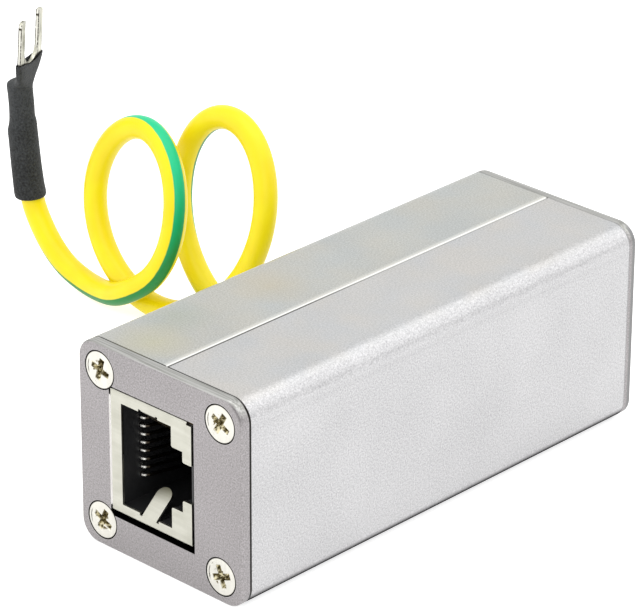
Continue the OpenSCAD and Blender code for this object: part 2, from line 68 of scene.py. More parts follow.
# Screws: countersunk heads with a cross recess, each turned by so many degrees
head_d = 4.45 * MM
head_rim = 0.12 * MM
head_sides = 64
shank_d = 2.4 * MM
screw_tip = 0.5 * MM
screw_lo, screw_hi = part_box("front_screws")
screw_l = screw_hi.y - screw_lo.y
screw_off = screw_hi.x - head_d / 2
screw_turns = {(-1, -1): 65, (-1, 1): 73, (1, -1): 20, (1, 1): 61}
recess_l = 2.85 * MM
recess_w = 0.78 * MM
recess_deep = 0.75 * MM
recess_taper = (0.5, 0.6)

# Earth wire: its thickness, and the points that it follows from the tab to the sleeve, in mm
wire_d = 3 * MM
wire_exit = Vector((wall_x, 7 * MM, mid_z))
wire_sides = 32
wire_easing = 4
steps_between = 5
lead_in = [
    (1.05, 7, 12.5), (-5, 7, 12.5), (-12.7, 7, 12.5), (-17, 7, 12.3),
    (-20.5, 7.5, 11.2), (-23.5, 8.6, 9.2), (-26.2, 10.2, 6.8), (-28.8, 12.2, 4.4),
    (-31.8, 14.2, 2.6), (-35.2, 15.8, 1.7),
]
turn_start = (-38.1, 18.4)
turn_drift = (-11, -4.4)
turn_half_w = 10.7
turn_half_h = 12.75
turn_shrink = 1.5
turn_lean = 2.7
turn_angles = range(-75, 286, 15)
near_turn = [
    (-52.6, 12.4, 3.01), (-55.25, 12.65, 4.78), (-57.37, 13.04, 7.06), (-58.86, 13.53, 9.69),
    (-59.63, 14.07, 12.5), (-59.66, 14.63, 15.28), (-58.98, 15.15, 17.84),
    (-57.7, 15.57, 20.03), (-55.94, 15.84, 21.69), (-53.85, 15.91, 22.72),
    (-51.61, 15.77, 23.02), (-49.4, 15.38, 22.52), (-47.35, 14.81, 21.29),
    (-45.64, 14.11, 19.44), (-44.39, 13.32, 17.1), (-43.73, 12.5, 14.43),
    (-43.7, 11.72, 11.63), (-44.38, 10.98, 8.88), (-45.81, 10.28, 6.43),
]
tail_out = [
    (-48.77, 9.69, 4.11), (-51.84, 9.91, 2.46), (-55.29, 10.64, 1.65),
    (-58.74, 11.13, 1.65), (-62.05, 11.07, 2.78), (-64.65, 11.08, 4.76),
    (-66.59, 11.13, 7.09), (-67.76, 11.17, 9.05),
]
sleeve_base = Vector((-68.3, 11, 10.4)) * MM
wire_entry = Vector((0.15, 0.13, 0)) * MM
sleeve_tilt = math.radians(5.6)
sleeve_axis = Vector((-math.sin(sleeve_tilt), 0, math.cos(sleeve_tilt)))
wire_ends = (3 * MM, 8 * MM)

# Green stripe: how far it is turned round the wire, in degrees, at distances along it in mm
stripe_turns = [
    (0, -110), (40, -100), (50, -95), (55, -108), (60, -132), (65, -138), (70, -149),
    (75, -172), (80, -200), (90, -195), (100, -165), (110, -130), (120, -92), (130, -60),
    (140, -28), (145, -15), (150, -3), (155, 9), (160, 17), (165, 25), (170, 34),
    (175, 45), (180, 54), (185, 55), (190, 45), (195, 31), (200, 22), (212, 15),
]
stripe_easing = 30
stripe_width = 58 / 360

# The fork's own measures in mm, and how it and the sleeve stand
sleeve_l = 15 * MM
fork_tilt = math.radians(5)
fork_turn = math.radians(112)
fork_y = -1.225
fork_t = 0.45
fork_l = 9.75
fork_w = 6.1
fork_slot = 3.8
fork_place = (
    Matrix.Translation(sleeve_base + sleeve_l * sleeve_axis)
    @ Matrix.Rotation(fork_tilt, 4, "Y")
    @ Matrix.Rotation(fork_turn, 4, "Z")
)
sleeve_place = (
    Matrix.Translation(sleeve_base)
    @ Matrix.Rotation(-sleeve_tilt, 4, "Y")
    @ Matrix.Rotation(fork_turn, 4, "Z")
)


def turn_point(angle):
    """A point of the far turn, in mm: the turn shrinks and drifts away from the body."""
    n = angle / 360
    a = math.radians(angle)
    return (
        turn_start[0] + turn_drift[0] * n - turn_half_w * math.cos(a),
        turn_start[1] + turn_drift[1] * n + turn_lean * math.sin(a),
        wire_d / MM / 2 + (turn_half_h - turn_shrink * n) * (1 + math.sin(a)),
    )


def wire_points():
    """The wire's route from the tab, through the bush and the turns, into the sleeve."""
    points = [Vector(p) * MM for p in lead_in]
    points += [Vector(turn_point(a)) * MM for a in turn_angles]
    points += [Vector(p) * MM for p in near_turn + tail_out]
    points.append(sleeve_base + wire_entry)
    return points + [sleeve_base + s * sleeve_axis for s in wire_ends]


def smooth_path(points, steps):
    """A smooth curve through all the points, with some steps between neighbours."""
    last = len(points) - 1
    spans = [(points[i + 1] - points[i]).length for i in range(last)]
    speeds = [(points[i + 1] - points[i]) / spans[i] for i in range(last)]
    slopes = [speeds[0]]
    for i in range(1, last):
        both = spans[i - 1] + spans[i]
        slopes.append((speeds[i - 1] * spans[i] + speeds[i] * spans[i - 1]) / both)
    slopes.append(speeds[-1])
    path = []
    for i in range(last):
        for k in range(steps):
            t = k / steps
            path.append(
                (1 - t)**2 * ((1 + 2 * t) * points[i] + t * spans[i] * slopes[i])
                + t**2 * ((3 - 2 * t) * points[i + 1] - (1 - t) * spans[i] * slopes[i + 1])
            )
    path.append(points[-1])
    return path


def eased(path, passes):
    """The same path with its small kinks evened out; its ends stay in place."""
    for _ in range(passes):
        middles = [(a + 2 * b + c) / 4 for a, b, c in zip(path, path[1:], path[2:])]
        path = [path[0]] + middles + [path[-1]]
    return path


def added(name, data):
    """Puts a new object with this data in the scene."""
    new = bpy.data.objects.new(name, data)
    bpy.context.scene.collection.objects.link(new)
    return new


# Camera and surroundings: where the photograph was taken from, with its angles in radians
camera_turn = 0.76358
camera_rise = 0.44535
camera_roll = 0.00366
camera_distance = 471.626 * MM
camera_shift = (-5.0496 * MM, 19.5369 * MM)
camera_lens = 230.085
sensor_width = 36
floor_size = 3
floor_drop = 0.02 * MM


def place_camera():
    """Stands the camera where the photograph was taken from."""
    back = Vector((
        math.sin(camera_turn) * math.cos(camera_rise),
        -math.cos(camera_turn) * math.cos(camera_rise),
        math.sin(camera_rise),
    ))
    level = Vector((math.cos(camera_turn), math.sin(camera_turn), 0))
    upright = back.cross(level)
    right = math.cos(camera_roll) * level + math.sin(camera_roll) * upright
    up = math.cos(camera_roll) * upright - math.sin(camera_roll) * level
    data = bpy.data.cameras.new("camera")
    data.sensor_fit = "HORIZONTAL"
    data.sensor_width = sensor_width
    data.lens = camera_lens
    data.clip_start = 0.01
    camera = added("camera", data)
    camera.matrix_world = Matrix((right, up, back)).transposed().to_4x4()
    camera.matrix_world.translation = (
        right * camera_shift[0] + up * camera_shift[1] + back * camera_distance
    )
    bpy.context.scene.camera = camera


def soft_light(name, place, size, power, target=(0, 0, 0)):
    """A square soft box that faces a target."""
    data = bpy.data.lights.new(name, "AREA")
    data.size = size
    data.energy = power
    light = added(name, data)
    light.location = place
    aim = (Vector(target) - Vector(place)).to_track_quat("-Z", "Y")
    light.rotation_euler = aim.to_euler()


def white_world():
    """An even white all round, shown in plain screen colours."""
    world = bpy.data.worlds.new("studio")
    world.use_nodes = True
    background = world.node_tree.nodes["Background"]
    background.inputs["Color"].default_value = (1, 1, 1, 1)
    background.inputs["Strength"].default_value = 1.0
    bpy.context.scene.world = world
    bpy.context.scene.view_settings.view_transform = "Standard"


# Nodes of the materials


def paint(red, green, blue):
    """A colour as a screen shows it, 0 to 255, in the linear values that shaders take."""
    def linear(level):
        c = level / 255
        return c / 12.92 if c <= 0.04045 else ((c + 0.055) / 1.055) ** 2.4
    return (linear(red), linear(green), linear(blue), 1)


def node(tree, kind, inputs=None, **settings):
    """Adds a node, and feeds its inputs with values or with other nodes' outputs."""
    new = tree.nodes.new(kind)
    for key, value in settings.items():
        setattr(new, key, value)
    for key, value in (inputs or {}).items():
        if isinstance(value, bpy.types.NodeSocket):
            tree.links.new(value, new.inputs[key])
        else:
            new.inputs[key].default_value = value
    return new


def noise(tree, vector, scale, detail=2, roughness=0.5):
    """A cloud of values about 0.5."""
    return node(tree, "ShaderNodeTexNoise", {
        "Vector": vector, "Scale": scale, "Detail": detail, "Roughness": roughness,
    }).outputs["Fac"]


def spread(tree, value, low, high, to_low=0.0, to_high=1.0):
    """Stretches the values between low and high to a new range."""
    return node(tree, "ShaderNodeMapRange", {
        "Value": value, "From Min": low, "From Max": high,
        "To Min": to_low, "To Max": to_high,
    }).outputs["Result"]


def maths(tree, operation, first, second=0.0):
    """One sum, such as MULTIPLY or ADD."""
    return node(tree, "ShaderNodeMath", {0: first, 1: second}, operation=operation).outputs[0]


def product(tree, first, *others):
    """Several masks or shares multiplied."""
    for other in others:
        first = maths(tree, "MULTIPLY", first, other)
    return first


def larger(tree, first, second):
    """The larger of two values."""
    return maths(tree, "MAXIMUM", first, second)


def off_from(tree, value, middle):
    """How far a value is from a middle, on either side."""
    return maths(tree, "ABSOLUTE", maths(tree, "SUBTRACT", value, middle))


def blend(tree, share, first, second):
    """Two colours mixed by a share."""
    return node(tree, "ShaderNodeMix", {0: share, 6: first, 7: second},
                data_type="RGBA").outputs[2]


def along_axis(tree, place, axis):
    """One coordinate of a place."""
    return node(tree, "ShaderNodeSeparateXYZ", {0: place}).outputs[axis]


def facing(tree, axis):
    """How much the surface faces along an axis, from -1 to 1."""
    return along_axis(tree, node(tree, "ShaderNodeNewGeometry").outputs["Normal"], axis)


def distance(tree, place, centre):
    """How far a place is from a point."""
    return node(tree, "ShaderNodeVectorMath", {0: place, 1: centre},
                operation="DISTANCE").outputs["Value"]


def squeezed(tree, vector, scale):
    """The same coordinates, squeezed or stretched along each axis."""
    return node(tree, "ShaderNodeMapping", {"Vector": vector, "Scale": scale}).outputs[0]


def new_group(name, inputs, outputs):
    """A shader node group with named inputs and outputs."""
    tree = bpy.data.node_groups.new(name, "ShaderNodeTree")
    for label, (kind, value) in inputs.items():
        socket = tree.interface.new_socket(name=label, in_out="INPUT", socket_type=kind)
        if value is not None:
            socket.default_value = value
    for label, kind in outputs.items():
        tree.interface.new_socket(name=label, in_out="OUTPUT", socket_type=kind)
    return tree, tree.nodes.new("NodeGroupInput").outputs


def close_group(tree, **results):
    """Joins the group's results to its outputs."""
    out = tree.nodes.new("NodeGroupOutput")
    for label, value in results.items():
        tree.links.new(value, out.inputs[label])
    return tree


VECTOR = ("NodeSocketVector", None)
COLOUR = "NodeSocketColor"
FLOAT = "NodeSocketFloat"


def make_grain():
    """Fine even grain between a dark and a light tone, with soft clouds under it."""
    tree, given = new_group("grain", {
        "Vector": VECTOR, "Scale": (FLOAT, 5000.0), "Clouds": (FLOAT, 0.3),
        "Dark": (COLOUR, (0.3, 0.3, 0.3, 1)), "Light": (COLOUR, (0.6, 0.6, 0.6, 1)),
    }, {"Colour": COLOUR, "Height": FLOAT})
    fine = noise(tree, given["Vector"], given["Scale"], detail=3, roughness=0.7)
    fine = spread(tree, fine, 0.3, 0.7)
    broad = spread(tree, noise(tree, given["Vector"], scale=90), 0.3, 0.7, -0.5, 0.5)
    share = maths(tree, "ADD", fine, product(tree, broad, given["Clouds"]))
    colour = blend(tree, share, given["Dark"], given["Light"])
    return close_group(tree, Colour=colour, Height=fine)


def make_edge_wear_and_shade():
    """Finds the rounded edges: polished by handling on most pieces, and painted shade on the
    contacts.
    """
    tree, given = new_group("edge wear and shade", {
        "Vector": VECTOR, "Radius": (FLOAT, 0.0002), "Amount": (FLOAT, 0.5),
    }, {"Mask": FLOAT})
    rounded = node(tree, "ShaderNodeBevel", {"Radius": given["Radius"]}, samples=4).outputs[0]
    normal = node(tree, "ShaderNodeNewGeometry").outputs["Normal"]
    likeness = node(tree, "ShaderNodeVectorMath", {0: rounded, 1: normal},
                    operation="DOT_PRODUCT").outputs["Value"]
    edge = spread(tree, likeness, 0.995, 0.85)
    patchy = spread(tree, noise(tree, given["Vector"], scale=900, detail=4), 0.35, 0.6, 0.3, 1)
    return close_group(tree, Mask=product(tree, edge, patchy, given["Amount"]))


def make_brushing():
    """Fine lines left by rolling or drawing, along the axis that is squeezed most."""
    tree, given = new_group("brushing", {
        "Vector": VECTOR, "Scale": (FLOAT, 1500.0), "Depth": (FLOAT, 0.5),
    }, {"Height": FLOAT, "Mask": FLOAT})
    lines = noise(tree, given["Vector"], given["Scale"], detail=4, roughness=0.65)
    height = product(tree, lines, given["Depth"])
    return close_group(tree, Height=height, Mask=spread(tree, lines, 0.42, 0.62))


def make_line():
    """A thin line where a coordinate passes a place."""
    tree, given = new_group("line", {
        "Coordinate": (FLOAT, 0.0), "Place": (FLOAT, 0.0), "Half": (FLOAT, 0.0001),
        "Soft": (FLOAT, 0.00003),
    }, {"Mask": FLOAT})
    off = off_from(tree, given["Coordinate"], given["Place"])
    outer = maths(tree, "ADD", given["Half"], given["Soft"])
    inner = maths(tree, "SUBTRACT", given["Half"], given["Soft"])
    return close_group(tree, Mask=spread(tree, off, outer, inner))


def make_sunk():
    """Finds what lies below one of the two end faces, by a depth from it."""
    tree, given = new_group("sunk", {
        "Vector": VECTOR, "Face": (FLOAT, 0.0325), "Depth": (FLOAT, 0.0001),
        "Soft": (FLOAT, 0.0001),
    }, {"Mask": FLOAT})
    off = maths(tree, "ABSOLUTE", along_axis(tree, given["Vector"], "Y"))
    depth = maths(tree, "SUBTRACT", given["Face"], off)
    full = maths(tree, "ADD", given["Depth"], given["Soft"])
    return close_group(tree, Mask=spread(tree, depth, given["Depth"], full))


groups = {
    "grain": make_grain(), "edge wear and shade": make_edge_wear_and_shade(), "brushing": make_brushing(),
    "line": make_line(), "sunk": make_sunk(),
}


def use_group(tree, name, **inputs):
    """Places one of the shared groups in a material."""
    return node(tree, "ShaderNodeGroup", inputs, node_tree=groups[name]).outputs


def line(tree, coordinate, at, half, soft):
    """The mask of a thin line where a coordinate passes a place."""
    return use_group(tree, "line", Coordinate=coordinate, Place=at, Half=half, Soft=soft)["Mask"]


def sunk(tree, place, depth, soft, face=half_l):
    """The mask of what lies deeper than this below the end faces."""
    return use_group(tree, "sunk", Vector=place, Face=face, Depth=depth, Soft=soft)["Mask"]


def new_material(name, **settings):
    """A material with its shader's plain values, and where its patterns read their place."""
    material = bpy.data.materials.new(name)
    material.use_nodes = True
    tree = material.node_tree
    shader = tree.nodes["Principled BSDF"]
    for key, value in settings.items():
        shader.inputs[key.replace("_", " ")].default_value = value
    place = node(tree, "ShaderNodeTexCoord").outputs["Object"]
    return material, tree, shader, place


def feed(tree, shader, **outputs):
    """Joins outputs to the shader's sockets of the same names."""
    for key, value in outputs.items():
        tree.links.new(value, shader.inputs[key.replace("_", " ")])


def bump(tree, shader, height, rise, strength):
    """Raises the surface by a height map, up to its full rise."""
    raised = node(tree, "ShaderNodeBump", {
        "Height": height, "Distance": rise, "Strength": strength,
    })
    feed(tree, shader, Normal=raised.outputs[0])


def reopened(material):
    """A finished material's tree and shader, and a place for marks that are added later."""
    tree = material.node_tree
    place = node(tree, "ShaderNodeTexCoord").outputs["Object"]
    return tree, tree.nodes["Principled BSDF"], place


def repaint(tree, shader, mask, colour):
    """Paints over a finished base colour where a mask holds."""
    before = shader.inputs["Base Color"].links[0].from_socket
    feed(tree, shader, Base_Color=blend(tree, mask, before, colour))


# Finishes of the body


def blasted_aluminium(name, dark, light, edge, details):
    """Bead-blasted and anodised aluminium: fine grain, lighter edges and its own details."""
    material, tree, shader, place = new_material(name, Metallic=1.0)
    grain = use_group(tree, "grain", Vector=place, Scale=5200.0, Clouds=0.15,
                      Dark=dark, Light=light)
    edge_share = use_group(tree, "edge wear and shade", Vector=place, Radius=0.18 * MM, Amount=0.5)
    colour = blend(tree, edge_share["Mask"], grain["Colour"], edge)
    rough = spread(tree, grain["Height"], 0, 1, 0.44, 0.34)
    feed(tree, shader, Base_Color=details(tree, place, colour), Roughness=rough)
    bump(tree, shader, grain["Height"], rise=0.008 * MM, strength=0.6)
    return material


def bevel_highlight(tree, place, colour):
    """A painted highlight along the seam's bevel, on the left half."""
    across = along_axis(tree, place, "X")
    bevel = line(tree, across, at=-0.18 * MM, half=0.06 * MM, soft=0.02 * MM)
    return blend(tree, bevel, colour, paint(200, 200, 197))


def corner_shade(tree, place, colour):
    """A faint band of painted shade where the sides end and the upper corners begin to round."""
    up = along_axis(tree, place, "Z")
    corner = line(tree, up, at=body_h - 3.1 * MM, half=0.1 * MM, soft=0.5 * MM)
    return blend(tree, product(tree, corner, 0.1), colour, paint(90, 90, 90))


def top_reflection_tint(tree, place, colour):
    """Faint cool and warm painted reflections, as clouds, on the faces that look up."""
    clouds = spread(tree, noise(tree, place, scale=150), 0.35, 0.65)
    tinge = blend(tree, clouds, paint(184, 190, 190), paint(206, 198, 178))
    return blend(tree, spread(tree, facing(tree, "Z"), 0.7, 1.0, 0, 0.2), colour, tinge)


def joint_shade(tree, place, colour):
    """Painted shade in the gaps along the seam and against the end plates, fainter towards the
    rear.
    """
    across = along_axis(tree, place, "X")
    along = along_axis(tree, place, "Y")
    seam = line(tree, across, at=0.07 * MM, half=0.19 * MM, soft=0.02 * MM)
    seam = product(tree, seam, spread(tree, along, -10 * MM, 4 * MM, 0.85, 0.35))
    end = line(tree, off_from(tree, along, 0), at=half_l - plate_t, half=0.16 * MM,
               soft=0.04 * MM)
    end = product(tree, end, spread(tree, along, -5 * MM, 5 * MM, 1.0, 0.4))
    return blend(tree, larger(tree, seam, end), colour, paint(26, 24, 20))


def half_details(tree, place, colour):
    """What both halves show."""
    for detail in (bevel_highlight, corner_shade, top_reflection_tint, joint_shade):
        colour = detail(tree, place, colour)
    return colour


# Faint reflections of the wire on the left half's top: middle in mm, colour and strength
wire_casts = (
    ((-6.4, -9.1, 25), paint(196, 168, 96), 0.24),
    ((-8.3, -21.8, 25), paint(130, 142, 84), 0.2),
    ((-5.5, -28.0, 25), paint(186, 180, 116), 0.26),
)
cast_reach = 5 * MM


def left_half_details(tree, place, colour):
    """A painted highlight strip beside the seam, what both halves show, and the wire's faint
    painted reflections.
    """
    beside = spread(tree, along_axis(tree, place, "X"), -0.85 * MM, -0.3 * MM, 0, 0.7)
    colour = half_details(tree, place, blend(tree, beside, colour, paint(214, 214, 208)))
    for middle, cast, strength in wire_casts:
        off = distance(tree, place, Vector(middle) * MM)
        colour = blend(tree, spread(tree, off, cast_reach, 0, 0, strength), colour, cast)
    return colour


def dark_foot(material):
    """The long low corners lie in shadow: dark and without shine."""
    tree, shader, place = reopened(material)
    low = line(tree, along_axis(tree, place, "Z"), at=0.3 * MM, half=1.1 * MM, soft=0.45 * MM)
    repaint(tree, shader, low, paint(8, 8, 12))
    rough = shader.inputs["Roughness"].links[0].from_socket
    feed(tree, shader, Roughness=larger(tree, rough, low))


def lined_tops(tree, place, colour):
    """The plates' upper sides are lighter, with fine lines across."""
    lines = noise(tree, squeezed(tree, place, (0.02, 1, 1)), scale=5200, detail=1)
    sides = blend(tree, spread(tree, lines, 0.4, 0.6), paint(138, 138, 134), paint(168, 168, 165))
    return blend(tree, spread(tree, facing(tree, "Z"), 0.3, 0.8), colour, sides)


def side_rims(tree, place, colour):
    """On the right side, the rear plate's grey edge and painted shade in the front plate's joint.
    """
    sideways = spread(tree, facing(tree, "X"), 0.3, 0.7)
    along = along_axis(tree, place, "Y")
    rear = spread(tree, along, half_l - 0.85 * MM, half_l - 0.65 * MM)
    colour = blend(tree, product(tree, rear, sideways), colour, paint(118, 118, 118))
    joint = spread(tree, along, front_y + 1.04 * MM, front_y + 1.1 * MM)
    joint = product(tree, joint, maths(tree, "LESS_THAN", along, 0.0), sideways)
    return blend(tree, joint, colour, paint(24, 22, 20))


def crescent_shade(tree, place, colour):
    """A painted dark crescent of shade along the front face's upper right corner, where it rounds
    over.
    """
    middle = Vector((-wall_x - corner_r, 0, body_h - corner_r))
    off = distance(tree, squeezed(tree, place, (1, 0, 1)), middle)
    arc = line(tree, off, at=corner_r - 0.2 * MM, half=0.1 * MM, soft=0.3 * MM)
    right = spread(tree, along_axis(tree, place, "X"), middle.x + 0.4 * MM, middle.x + 1.2 * MM)
    high = spread(tree, along_axis(tree, place, "Z"), middle.z - 0.1 * MM, middle.z + 0.9 * MM)
    ahead = spread(tree, facing(tree, "Y"), -0.8, -0.95)
    share = product(tree, arc, right, high, ahead, 0.75)
    return blend(tree, share, colour, paint(48, 46, 44))


def window_wall_shade(tree, place, colour):
    """Painted shade on the walls in the window and round the screws, but not where the shield
    sits tight.
    """
    across = along_axis(tree, place, "X")
    up = off_from(tree, along_axis(tree, place, "Z"), mid_z)
    out = larger(tree, off_from(tree, across, 0), up)
    inside = maths(tree, "LESS_THAN", out, holes_reach)
    tight = product(tree, maths(tree, "LESS_THAN", across, tight_right),
                    maths(tree, "LESS_THAN", up, tight_half_h))
    deep = sunk(tree, place, depth=0.02 * MM, soft=0.06 * MM)
    hollow = product(tree, inside, deep, maths(tree, "SUBTRACT", 1.0, tight))
    return blend(tree, hollow, colour, paint(18, 16, 16))


def plate_details(tree, place, colour):
    """What the end plates show."""
    for detail in (lined_tops, side_rims, crescent_shade, window_wall_shade):
        colour = detail(tree, place, colour)
    return colour


# Finishes of the small metal pieces


def plain(tree, place, colour):
    """A finish without details of its own."""
    return colour


def bright_metal(name, dark, light, edge, squeeze, roughness, wear=0.5, details=plain):
    """Rolled and plated metal: faint lines, soft clouds, its edges and its own details."""
    material, tree, shader, place = new_material(name, Metallic=1.0)
    lines = use_group(tree, "brushing", Vector=squeezed(tree, place, squeeze),
                      Scale=1500.0, Depth=0.6)
    cloud = spread(tree, noise(tree, place, scale=420, detail=4), 0.35, 0.65)
    share = maths(tree, "ADD", product(tree, cloud, 0.6), product(tree, lines["Mask"], 0.4))
    edge_share = use_group(tree, "edge wear and shade", Vector=place, Radius=0.08 * MM, Amount=wear)
    colour = blend(tree, edge_share["Mask"], blend(tree, share, dark, light), edge)
    rough = spread(tree, cloud, 0, 1, roughness, roughness * 1.4)
    feed(tree, shader, Base_Color=details(tree, place, colour), Roughness=rough)
    bump(tree, shader, lines["Height"], rise=0.004 * MM, strength=0.5)
    return material


def recess_patches(tree, place, colour):
    """Dark and light olive patches in the cross recess."""
    deep = sunk(tree, place, depth=0.03 * MM, soft=0.08 * MM, face=-screw_lo.y)
    patches = spread(tree, noise(tree, place, scale=2200), 0.42, 0.58)
    patch_colour = blend(tree, patches, paint(66, 58, 34), paint(206, 198, 166))
    return blend(tree, deep, colour, patch_colour)


def screw_details(tree, place, colour):
    """Olive patches in the recess and smeared round it, a dark ring of painted shade in the gap
    round the head, and nicks by the rim.
    """
    colour = recess_patches(tree, place, colour)
    x_place = along_axis(tree, place, "X")
    across = off_from(tree, x_place, 0)
    up = off_from(tree, along_axis(tree, place, "Z"), mid_z)
    folded = node(tree, "ShaderNodeCombineXYZ", {"X": across, "Y": up}).outputs[0]
    out = distance(tree, folded, Vector((screw_off, screw_off, 0)))
    smear = spread(tree, noise(tree, place, scale=1500), 0.53, 0.58)
    smear = product(tree, smear, spread(tree, out, 1.2 * MM, 1.0 * MM))
    colour = blend(tree, smear, colour, paint(92, 82, 54))
    # The ring is painted shade in the gap round the head; the nicks share its dark colour
    ring = spread(tree, out, head_d / 2 - 0.12 * MM, head_d / 2 - 0.05 * MM)
    # The nicks are on the left of every head, as seen from the front
    aside = product(tree, maths(tree, "SUBTRACT", across, screw_off),
                    maths(tree, "SIGN", x_place))
    nick = line(tree, out, at=1.82 * MM, half=0.05 * MM, soft=0.04 * MM)
    nick = product(tree, nick, spread(tree, aside, -1.6 * MM, -1.7 * MM))
    return blend(tree, larger(tree, ring, nick), colour, paint(40, 36, 32))


def shield_details(tree, place, colour):
    """The springs are painted darker towards their tips, as shade deeper in the jack, and the cut
    edges of the mouth are brown.
    """
    tip = sunk(tree, place, depth=1.7 * MM, soft=1.4 * MM)
    colour = blend(tree, tip, colour, paint(96, 94, 74))
    cut = sunk(tree, place, depth=0.12 * MM, soft=0.12 * MM)
    above = maths(tree, "GREATER_THAN", along_axis(tree, place, "Z"), mid_z)
    return blend(tree, product(tree, cut, above), colour, paint(66, 56, 38))


def crevice_light(material, reach):
    """Paints a pale matt strip beside the window's left wall, where the jack's sheet meets it:
    painted light in the crevice.
    """
    tree, shader, place = reopened(material)
    wall = line(tree, along_axis(tree, place, "X"), at=window_left + reach / 2,
                half=reach / 2, soft=0.01 * MM)
    window = line(tree, along_axis(tree, place, "Z"), at=mid_z, half=crevice_half_h,
                  soft=0.01 * MM)
    deep = sunk(tree, place, depth=0.01 * MM, soft=0.03 * MM)
    crevice = product(tree, wall, deep, window)
    repaint(tree, shader, crevice, paint(236, 234, 232))
    feed(tree, shader, Metallic=maths(tree, "SUBTRACT", 1.0, crevice))


def contact_shade(tree, place, colour):
    """Painted shade on the contacts far behind the mouth and beyond the bend that faces it."""
    back = sunk(tree, place, depth=3.7 * MM, soft=0.3 * MM)
    inward = spread(tree, along_axis(tree, place, "X"), -5.6 * MM, -5.35 * MM)
    return blend(tree, larger(tree, back, inward), colour, paint(54, 48, 40))


def fork_highlights_and_shade(tree, place, colour):
    """Painted highlights on the prongs' sheared sides, and painted shade as dark lines along
    their corners.
    """
    own = node(tree, "ShaderNodeAttribute", attribute_name="own_place").outputs["Vector"]
    across = off_from(tree, along_axis(tree, own, "X"), 0)
    through = off_from(tree, along_axis(tree, own, "Y"), fork_y)
    up = along_axis(tree, own, "Z")
    side = larger(tree, *(line(tree, across, at=half, half=0.1, soft=0.05)
                          for half in (fork_slot / 2, fork_w / 2)))
    colour = blend(tree, side, colour, paint(206, 205, 196))
    face = line(tree, through, at=fork_t / 2, half=0.12, soft=0.06)
    patchy = spread(tree, noise(tree, place, scale=3400), 0.25, 0.5)
    corner = product(tree, side, face, patchy)
    tip = line(tree, up, at=fork_l - 0.75, half=0.16, soft=0.1)
    corner = larger(tree, corner, product(tree, side, tip))
    return blend(tree, corner, colour, paint(40, 34, 20))


# Finishes of the plastic pieces, the wire and the inner parts


def moulded_plastic(name, dark, light, roughness, depth, scale=2600.0, specular=0.5):
    """Moulded plastic with a fine spark-eroded grain."""
    material, tree, shader, place = new_material(name, Specular_IOR_Level=specular)
    grain = use_group(tree, "grain", Vector=place, Scale=scale, Clouds=0.6,
                      Dark=dark, Light=light)
    rough = spread(tree, grain["Height"], 0, 1, roughness, roughness + 0.1)
    feed(tree, shader, Base_Color=grain["Colour"], Roughness=rough)
    bump(tree, shader, grain["Height"], depth, strength=0.6)
    return material


def wire_insulation():
    """Smooth yellow insulation with a green stripe that runs along the wire, painted lighter
    where it faces up.
    """
    material, tree, shader, place = new_material(
        "wire_insulation", Roughness=0.38, Specular_IOR_Level=0.3)
    unrolled = node(tree, "ShaderNodeUVMap", uv_map="unrolled").outputs[0]
    ragged = spread(tree, noise(tree, place, scale=700, detail=3), 0.3, 0.7, -0.002, 0.002)
    off = maths(tree, "ADD", off_from(tree, along_axis(tree, unrolled, "Y"), 0.5), ragged)
    stripe = spread(tree, off, stripe_width / 2 + 0.006, stripe_width / 2 - 0.006)
    cloud = spread(tree, noise(tree, place, scale=260, detail=3), 0.3, 0.7)
    yellow = blend(tree, cloud, paint(209, 188, 0), paint(212, 196, 0))
    # Painted light: the stripe turns lighter where it faces up
    stripe_top_light = spread(tree, facing(tree, "Z"), -0.1, 0.65)
    green = blend(tree, stripe_top_light, paint(0, 112, 42), paint(2, 170, 116))
    feed(tree, shader, Base_Color=blend(tree, stripe, yellow, green))
    drawn = noise(tree, squeezed(tree, unrolled, (260, 30, 1)), scale=1.0, detail=3)
    bump(tree, shader, drawn, rise=0.02 * MM, strength=0.3)
    return material


def circuit_board_green():
    """Green solder mask with lighter tracks under it."""
    material, tree, shader, place = new_material("circuit_board_green", Roughness=0.35)
    grain = use_group(tree, "grain", Vector=place, Scale=900.0, Clouds=0.5,
                      Dark=paint(12, 62, 38), Light=paint(20, 84, 52))
    tracks = node(tree, "ShaderNodeTexWave", {
        "Vector": place, "Scale": 160.0, "Distortion": 2.0, "Detail": 1.0,
    }, wave_type="BANDS", bands_direction="Y")
    track = spread(tree, tracks.outputs["Fac"], 0.78, 0.84, 0, 0.6)
    feed(tree, shader, Base_Color=blend(tree, track, grain["Colour"], paint(38, 120, 70)))
    bump(tree, shader, track, rise=0.03 * MM, strength=0.5)
    return material


def tube_ceramic():
    """White ceramic between tinned caps, told apart by the height on each tube."""
    material, tree, shader, place = new_material("tube_ceramic")
    tube_middle = 5.4 * MM
    cap_from = 2.9 * MM
    ring_half = 0.35 * MM
    from_middle = off_from(tree, along_axis(tree, place, "Z"), mid_z)
    on_tube = off_from(tree, from_middle, tube_middle)
    metal = larger(tree, maths(tree, "GREATER_THAN", on_tube, cap_from),
                   maths(tree, "LESS_THAN", on_tube, ring_half))
    cloud = noise(tree, place, scale=600, detail=3)
    ceramic = blend(tree, cloud, paint(228, 222, 210), paint(244, 240, 232))
    feed(tree, shader, Base_Color=blend(tree, metal, ceramic, paint(214, 212, 206)),
         Metallic=metal, Roughness=spread(tree, cloud, 0.3, 0.7, 0.3, 0.45))
    return material


def floor_paint():
    """White paint that glows a little, so that the shadows on it stay faint."""
    return new_material("floor_paint", Roughness=0.9, Base_Color=(0.6, 0.6, 0.6, 1),
                        Emission_Color=(1, 1, 1, 1), Emission_Strength=0.7)[0]


# Modelling


def pick_only(piece):
    """Selects one object alone, and makes it the active one."""
    bpy.ops.object.select_all(action="DESELECT")
    piece.select_set(True)
    bpy.context.view_layer.objects.active = piece


